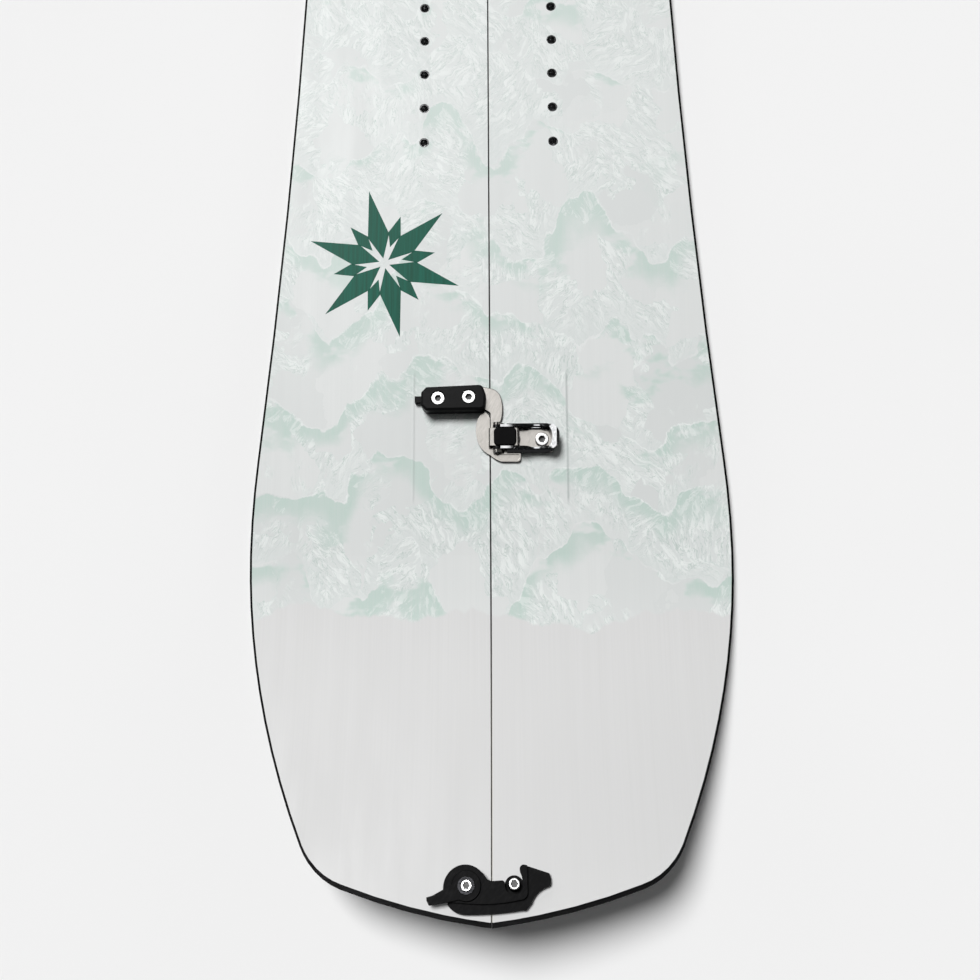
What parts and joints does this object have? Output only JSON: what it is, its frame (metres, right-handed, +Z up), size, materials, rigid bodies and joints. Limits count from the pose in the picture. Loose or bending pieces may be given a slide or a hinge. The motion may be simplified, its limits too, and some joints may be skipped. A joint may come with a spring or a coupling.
{
  "type": "splitboard",
  "caption": "Snowboard split lengthwise into two ski halves with steel edges, joined by lever clips over the seam and swinging hooks at both ends.",
  "frame": {"origin": "centre of the board under its running base, half way between nose and tail", "axes": "+Y from the nose to the tail, +X across the board to the half that carries the levers, +Z up from the base"},
  "size_m": [0.3128, 1.5772, 0.0566],
  "materials": {
    "topsheet": "satin lacquer, white with a pale grey-green print",
    "base": "sintered polyethylene",
    "edge_steel": "ground",
    "laminate": "resin and glass fibre",
    "core_wood": "planed strips",
    "sidewall": "milled",
    "insert_steel": "turned",
    "black_metal": "satin black anodised",
    "screw_chrome": "polished",
    "plate_steel": "brushed",
    "lever_chrome": "satin chrome",
    "pad_black": "moulded",
    "pin_steel": "ground",
    "hook_black": "satin black",
    "washer_black": "moulded",
    "bushing_steel": "turned"
  },
  "bodies": {
    "left_half": {"left_base_sheet": "base", "left_steel_edge": "edge_steel", "left_lower_laminate": "laminate", "left_wood_core": "core_wood", "left_outer_sidewall": "sidewall", "left_inner_sidewall": "sidewall", "left_upper_laminate": "laminate", "left_topsheet": "topsheet", "left_binding_inserts": "insert_steel", "left_touring_inserts": "insert_steel", "left_hardware_inserts": "insert_steel", "front_clip_hook_plate": "plate_steel", "front_clip_anvil_block": "black_metal", "front_clip_anvil_screws": "screw_chrome", "rear_clip_hook_plate": "plate_steel", "rear_clip_anvil_block": "black_metal", "rear_clip_anvil_screws": "screw_chrome", "nose_thrust_washer": "washer_black", "nose_pivot_bushing": "bushing_steel", "nose_pivot_screw": "screw_chrome", "tail_receiver_post": "hook_black", "tail_receiver_screw": "screw_chrome"},
    "right_half": {"right_base_sheet": "base", "right_steel_edge": "edge_steel", "right_lower_laminate": "laminate", "right_wood_core": "core_wood", "right_outer_sidewall": "sidewall", "right_inner_sidewall": "sidewall", "right_upper_laminate": "laminate", "right_topsheet": "topsheet", "right_binding_inserts": "insert_steel", "right_touring_inserts": "insert_steel", "right_hardware_inserts": "insert_steel", "front_clip_base_plate": "plate_steel", "front_clip_base_screws": "screw_chrome", "front_clip_pivot_pins": "pin_steel", "rear_clip_base_plate": "plate_steel", "rear_clip_base_screws": "screw_chrome", "rear_clip_pivot_pins": "pin_steel", "nose_receiver_post": "hook_black", "nose_receiver_screw": "screw_chrome", "tail_thrust_washer": "washer_black", "tail_pivot_bushing": "bushing_steel", "tail_pivot_screw": "screw_chrome"},
    "front_lever": {"front_clip_lever": "lever_chrome", "front_clip_link_pin": "pin_steel"},
    "front_link": {"front_clip_draw_link": "plate_steel", "front_clip_link_cap": "pad_black"},
    "rear_lever": {"rear_clip_lever": "lever_chrome", "rear_clip_link_pin": "pin_steel"},
    "rear_link": {"rear_clip_draw_link": "plate_steel", "rear_clip_link_cap": "pad_black"},
    "nose_hook": {"nose_swing_hook": "hook_black", "nose_release_lever": "hook_black"},
    "tail_hook": {"tail_swing_hook": "hook_black", "tail_release_lever": "hook_black"}
  },
  "joints": [
    {"name": "half_slide", "type": "slide", "parent": "left_half", "child": "right_half", "axis": [0, -1, 0], "range_m": [0, 0.024]},
    {"name": "nose_hook_swing", "type": "hinge", "parent": "left_half", "child": "nose_hook", "pos_m": [-0.0144, -0.76839, 0.04656], "axis": [0, 0.381, 0.9246], "range_deg": [-110.5, 0]},
    {"name": "tail_hook_swing", "type": "hinge", "parent": "right_half", "child": "tail_hook", "pos_m": [0.0144, 0.76844, 0.03429], "axis": [0, -0.2861, 0.9582], "range_deg": [-110.5, 0]},
    {"name": "front_lever_hinge", "type": "hinge", "parent": "right_half", "child": "front_lever", "pos_m": [0.0042, -0.499, 0.014], "axis": [0, -1, 0], "range_deg": [0, 135]},
    {"name": "front_link_hinge", "type": "hinge", "parent": "front_lever", "child": "front_link", "pos_m": [0.0176, -0.499, 0.0152], "axis": [0, -1, 0], "range_deg": [-135, 0]},
    {"name": "rear_lever_hinge", "type": "hinge", "parent": "right_half", "child": "rear_lever", "pos_m": [0.0042, 0.499, 0.014], "axis": [0, -1, 0], "range_deg": [0, 135]},
    {"name": "rear_link_hinge", "type": "hinge", "parent": "rear_lever", "child": "rear_link", "pos_m": [0.0176, 0.499, 0.0152], "axis": [0, -1, 0], "range_deg": [-135, 0]}
  ],
  "couplings": [
    {"joint": "nose_hook_swing", "follows": "half_slide", "rad_per_m": -79.994},
    {"joint": "tail_hook_swing", "follows": "half_slide", "rad_per_m": -79.994},
    {"joint": "front_link_hinge", "follows": "front_lever_hinge", "ratio": -1},
    {"joint": "rear_link_hinge", "follows": "rear_lever_hinge", "ratio": -1}
  ]
}
